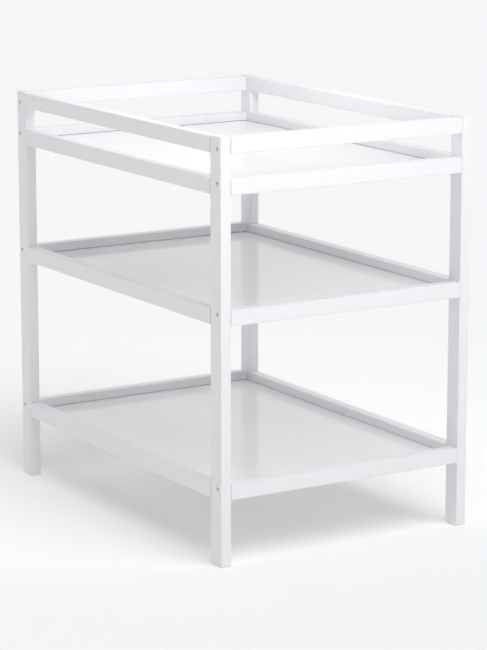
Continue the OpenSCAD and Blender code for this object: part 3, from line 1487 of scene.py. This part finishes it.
@dataclass
class Panel:
    """A deck or shelf board, notched at its corners round the posts."""

    level: Level
    joinery: Joinery
    arris: float = 0.4 * MM
    rim: float = 3 * MM
    grid_middle: float = 0.5

    def build(self) -> list[bpy.types.Object]:
        """Builds the board.

        Returns:
            The board, by itself.
        """
        node = PANEL_NODES[self.level]
        finish = LacqueredPanel().material()
        piece = Piece(f"lacquered_{node}", self.mesh(node), finish, Slot.PANELS, node)
        return [piece.publish()]

    def mesh(self, node: str) -> bmesh.types.BMesh:
        """Cuts the board's outline from a grid of nine and gives it its thickness.

        Args:
            node: The frame's node of the board.

        Returns:
            The closed board.
        """
        low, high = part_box(node)
        corner = self.notch()
        bm = bmesh.new()
        bmesh.ops.create_grid(bm, x_segments=3, y_segments=3, size=1.0)
        for vert in bm.verts:
            outer_x = abs(vert.co.x) > self.grid_middle
            outer_y = abs(vert.co.y) > self.grid_middle
            vert.co.x = math.copysign(high.x if outer_x else corner.x, vert.co.x)
            vert.co.y = math.copysign(high.y if outer_y else corner.y, vert.co.y)
            vert.co.z = low.z
        corners = [f for f in bm.faces if self.in_notch(f.calc_center_median(), corner)]
        bmesh.ops.delete(bm, geom=corners, context="FACES")
        raised = bmesh.ops.extrude_face_region(bm, geom=bm.faces[:])["geom"]
        lifted = [v for v in raised if isinstance(v, bmesh.types.BMVert)]
        bmesh.ops.translate(bm, verts=lifted, vec=Vector((0.0, 0.0, high.z - low.z)))
        bmesh.ops.recalc_face_normals(bm, faces=bm.faces)
        folds = [e for e in bm.edges if e.calc_face_angle(0.0) > FOLD_ANGLE]
        round_edges(bm, [e for e in folds if self.level_edge(e)], self.arris)
        self.mark_rim(bm)
        return bm

    def notch(self) -> Vector:
        """The corner of a notch, a gap inside the posts' inner faces.

        Returns:
            The corner's X and Y, as they are at the back right.
        """
        low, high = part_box(post_node(Side.LEFT, End.FRONT))
        gap = self.joinery.panel_gap
        return Vector((abs(high.x) - gap, abs(high.y) - gap))

    @staticmethod
    def in_notch(centre: Vector, corner: Vector) -> bool:
        """Says whether a face lies in one of the notches."""
        return abs(centre.x) > corner.x and abs(centre.y) > corner.y

    @staticmethod
    def level_edge(edge: bmesh.types.BMEdge) -> bool:
        """Says whether an edge lies level."""
        first, second = edge.verts
        return abs(first.co.z - second.co.z) < LEVEL_TOLERANCE

    def mark_rim(self, bm: bmesh.types.BMesh) -> None:
        """Writes the edge layer: 1 on the board's rounded edges, 0 inside a rim.

        Args:
            bm: The board's mesh.
        """
        bm.normal_update()
        layer = bm.verts.layers.float.new(EDGE_LAYER)
        for vert in bm.verts:
            vert[layer] = 1.0
        flats = [f for f in bm.faces if abs(f.normal.z) > FLAT_FACE]
        bmesh.ops.inset_region(bm, faces=flats, thickness=self.rim, use_even_offset=True)
        for face in flats:
            for vert in face.verts:
                vert[layer] = 0.0


@dataclass
class FrameHardware:
    """The dowels and barrel nuts, whose shapes come from the frame as they are."""

    finishes: dict[str, Finish] = field(
        default_factory=lambda: {
            "left_frame_dowels": BareBeech(Axis.ALONG),
            "right_frame_dowels": BareBeech(Axis.ALONG),
            "front_rail_dowels": BareBeech(Axis.ACROSS),
            "back_rail_dowels": BareBeech(Axis.ACROSS),
            "front_barrel_nuts": ZincPlate(),
            "back_barrel_nuts": ZincPlate(),
        }
    )

    def build(self) -> list[bpy.types.Object]:
        """Dresses each node in its finish.

        Returns:
            The frame's own objects.
        """
        dressed = []
        for name, finish in self.finishes.items():
            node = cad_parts[name]
            node.data.materials.clear()
            node.data.materials.append(finish.material())
            log.info("%s: dressed in %s", name, finish.title())
            dressed.append(node)
        return dressed


# ---------------------------------------------------------------------------------------------
# Studio
# ---------------------------------------------------------------------------------------------


class Receiver(Enum):
    """What a light falls on. Everything still stands in its way and casts shadows."""

    TABLE = "lit table"
    FLOOR = "lit floor"

    def collection(self) -> bpy.types.Collection:
        """The collection that holds what the light falls on."""
        return bpy.data.collections.get(self.value) or bpy.data.collections.new(self.value)


@dataclass(frozen=True)
class Lamp:
    """A distant soft lamp, which lights its receiver evenly."""

    name: str
    azimuth: float
    elevation: float
    spread: float
    strength: float
    receiver: Receiver = Receiver.TABLE

    def build(self) -> bpy.types.Object:
        """Hangs the lamp and points it at the table.

        Returns:
            The lamp's object.
        """
        data = bpy.data.lights.new(self.name, "SUN")
        data.angle = math.radians(self.spread)
        data.energy = self.strength
        out = towards(self.azimuth, self.elevation)
        return hang(data, out, Vector((0.0, 0.0, 0.0)), self.receiver)


@dataclass(frozen=True)
class SoftBox:
    """A square soft box near the table, whose light falls off with distance."""

    name: str
    place: tuple[float, float, float]
    aim: tuple[float, float, float]
    size: float
    power: float
    receiver: Receiver = Receiver.TABLE

    def build(self) -> bpy.types.Object:
        """Hangs the soft box and points it at its aim.

        Returns:
            The soft box's object.
        """
        data = bpy.data.lights.new(self.name, "AREA")
        data.shape = "SQUARE"
        data.size = self.size
        data.energy = self.power
        place = Vector(self.place)
        return hang(data, (place - Vector(self.aim)).normalized(), place, self.receiver)


@dataclass(frozen=True)
class Glow:
    """A soft bright part of the surround."""

    azimuth: float
    elevation: float
    strength: float
    edge: float = 0.3

    def lay(self, recipe: Recipe, direction: Any) -> bpy.types.NodeSocket:
        """Lays the nodes that give the glow's brightness in a direction.

        Args:
            recipe: The world's recipe.
            direction: The socket of the direction looked in.

        Returns:
            The brightness's socket.
        """
        node = recipe.add("ShaderNodeVectorMath", operation="DOT_PRODUCT")
        recipe.feed(node.inputs[0], direction)
        recipe.feed(node.inputs[1], towards(self.azimuth, self.elevation))
        return recipe.remap(node.outputs["Value"], (self.edge, 1.0), 0.0, self.strength)


def hang(data: bpy.types.Light, out: Vector, place: Vector, receiver: Receiver) -> bpy.types.Object:
    """Puts a light in the scene.

    Args:
        data: The light.
        out: Unit vector from what it lights to the light.
        place: Where it hangs.
        receiver: What it falls on.

    Returns:
        The light's object.
    """
    made = bpy.data.objects.new(data.name, data)
    made.location = place
    made.rotation_mode = "QUATERNION"
    made.rotation_quaternion = out.to_track_quat("Z", "Y")
    made.light_linking.receiver_collection = receiver.collection()
    bpy.context.scene.collection.objects.link(made)
    return made


def towards(azimuth: float, elevation: float) -> Vector:
    """The direction from the table to a place round it.

    Args:
        azimuth: Degrees round from the front, positive to the right.
        elevation: Degrees above the floor.

    Returns:
        A unit vector.
    """
    turn, rise = math.radians(azimuth), math.radians(elevation)
    level = math.cos(rise)
    return Vector((math.sin(turn) * level, -math.cos(turn) * level, math.sin(rise)))


@dataclass(frozen=True)
class Viewpoint:
    """The camera, which looks at the near front corner from a little above."""

    azimuth: float = -31.58
    elevation: float = 12.0
    distance: float = 5.894
    aim: tuple[float, float, float] = (0.013, -0.008, 0.391)
    lens: float = 149.07
    sensor: float = 36.0
    clip_end: float = 200.0

    def build(self) -> bpy.types.Object:
        """Makes the camera the scene's own.

        Returns:
            The camera's object.
        """
        data = bpy.data.cameras.new("viewpoint")
        data.lens = self.lens
        data.sensor_width = self.sensor
        data.clip_end = self.clip_end
        made = bpy.data.objects.new("viewpoint", data)
        out = towards(self.azimuth, self.elevation)
        made.location = Vector(self.aim) + out * self.distance
        made.rotation_mode = "QUATERNION"
        made.rotation_quaternion = out.to_track_quat("Z", "Y")
        bpy.context.scene.collection.objects.link(made)
        bpy.context.scene.camera = made
        return made


@dataclass
class Studio:
    """A pale sweep of floor, a soft bright surround behind the table, lamps and soft boxes."""

    pieces: Sequence[bpy.types.Object]
    floor_reach: float = 60.0
    floor_drop: float = 0.2 * MM
    floor_tone: Colour = (0.90, 0.90, 0.90)
    floor_glow: float = 0.16
    backdrop: float = 0.93
    glows: tuple[Glow, ...] = (
        Glow(140.0, 12.0, 0.84),
        Glow(-140.0, 12.0, 0.74),
    )
    lights: tuple[Lamp | SoftBox, ...] = (
        Lamp("floor wash", 0.0, 60.0, spread=50.0, strength=2.0, receiver=Receiver.FLOOR),
        Lamp("overhead", 0.0, 85.0, spread=60.0, strength=0.9),
        Lamp("right side", 75.0, 25.0, spread=50.0, strength=1.0),
        Lamp("low front", -20.0, 12.0, spread=40.0, strength=0.64),
        Lamp("low left", -118.0, 8.0, spread=30.0, strength=0.16),
        SoftBox("front box", place=(0.0, -2.2, 1.6), aim=(0.0, 0.0, 0.4), size=1.0, power=11.0),
        SoftBox("top box", place=(-0.3, -1.4, 1.7), aim=(-0.1, -0.4, 0.8), size=0.8, power=5.0),
        SoftBox("deck box", place=(0.0, 0.0, 1.3), aim=(0.05, 0.1, 0.85), size=0.4, power=1.3),
    )

    def build(self) -> None:
        """Sets up the floor, the surround, the lights and the camera."""
        bpy.context.scene.view_settings.view_transform = "Standard"
        Receiver.FLOOR.collection().objects.link(self.floor())
        for piece in self.pieces:
            Receiver.TABLE.collection().objects.link(piece)
        self.world()
        for light in self.lights:
            light.build()
        Viewpoint().build()
        log.info("studio: floor, surround, %d lights and a camera", len(self.lights))

    def floor(self) -> bpy.types.Object:
        """Lays the floor just under the posts.

        Returns:
            The floor's object.
        """
        bm = bmesh.new()
        bmesh.ops.create_grid(bm, x_segments=1, y_segments=1, size=self.floor_reach)
        bmesh.ops.translate(bm, verts=bm.verts, vec=Vector((0.0, 0.0, -self.floor_drop)))
        mesh = bpy.data.meshes.new("studio_floor")
        bm.to_mesh(mesh)
        bm.free()
        made = bpy.data.objects.new("studio_floor", mesh)
        bpy.context.scene.collection.objects.link(made)
        material = bpy.data.materials.new("studio floor")
        material.use_nodes = True
        surface = material.node_tree.nodes["Principled BSDF"].inputs
        surface["Base Color"].default_value = (*self.floor_tone, 1.0)
        surface["Roughness"].default_value = 1.0
        surface["Specular IOR Level"].default_value = 0.0
        surface["Emission Color"].default_value = WHITE
        surface["Emission Strength"].default_value = self.floor_glow
        mesh.materials.append(material)
        return made

    def world(self) -> None:
        """Lights the scene from the surround's glows, and shows an even backdrop behind it."""
        world = bpy.data.worlds.new("studio")
        world.use_nodes = True
        bpy.context.scene.world = world
        tree = world.node_tree
        tree.nodes.clear()
        recipe = Recipe(tree)
        direction = recipe.add("ShaderNodeTexCoord").outputs["Generated"]
        brightness = 0.0
        for glow in self.glows:
            brightness = recipe.math("ADD", glow.lay(recipe, direction), brightness)
        light = recipe.add("ShaderNodeBackground")
        recipe.feed(light.inputs["Color"], WHITE)
        recipe.feed(light.inputs["Strength"], brightness)
        seen = recipe.add("ShaderNodeBackground")
        recipe.feed(seen.inputs["Color"], WHITE)
        recipe.feed(seen.inputs["Strength"], self.backdrop)
        mix = recipe.add("ShaderNodeMixShader")
        recipe.feed(mix.inputs[0], recipe.add("ShaderNodeLightPath").outputs["Is Camera Ray"])
        recipe.feed(mix.inputs[1], light.outputs[0])
        recipe.feed(mix.inputs[2], seen.outputs[0])
        recipe.feed(recipe.add("ShaderNodeOutputWorld").inputs["Surface"], mix.outputs[0])


def main() -> None:
    """Builds the table's sub-assemblies in order, then the studio round them."""
    logging.basicConfig(level=logging.INFO, format="%(name)s: %(message)s")
    joinery = Joinery()
    assemblies = [
        *(SideFrame(side, joinery) for side in Side),
        *(CrossRails(end, joinery) for end in End),
        *(Panel(level, joinery) for level in PANEL_NODES),
        FrameHardware(),
    ]
    pieces = [piece for assembly in assemblies for piece in assembly.build()]
    log.info("the table has %d pieces", len(pieces))
    Studio(pieces).build()


if __name__ == "__main__":
    main()
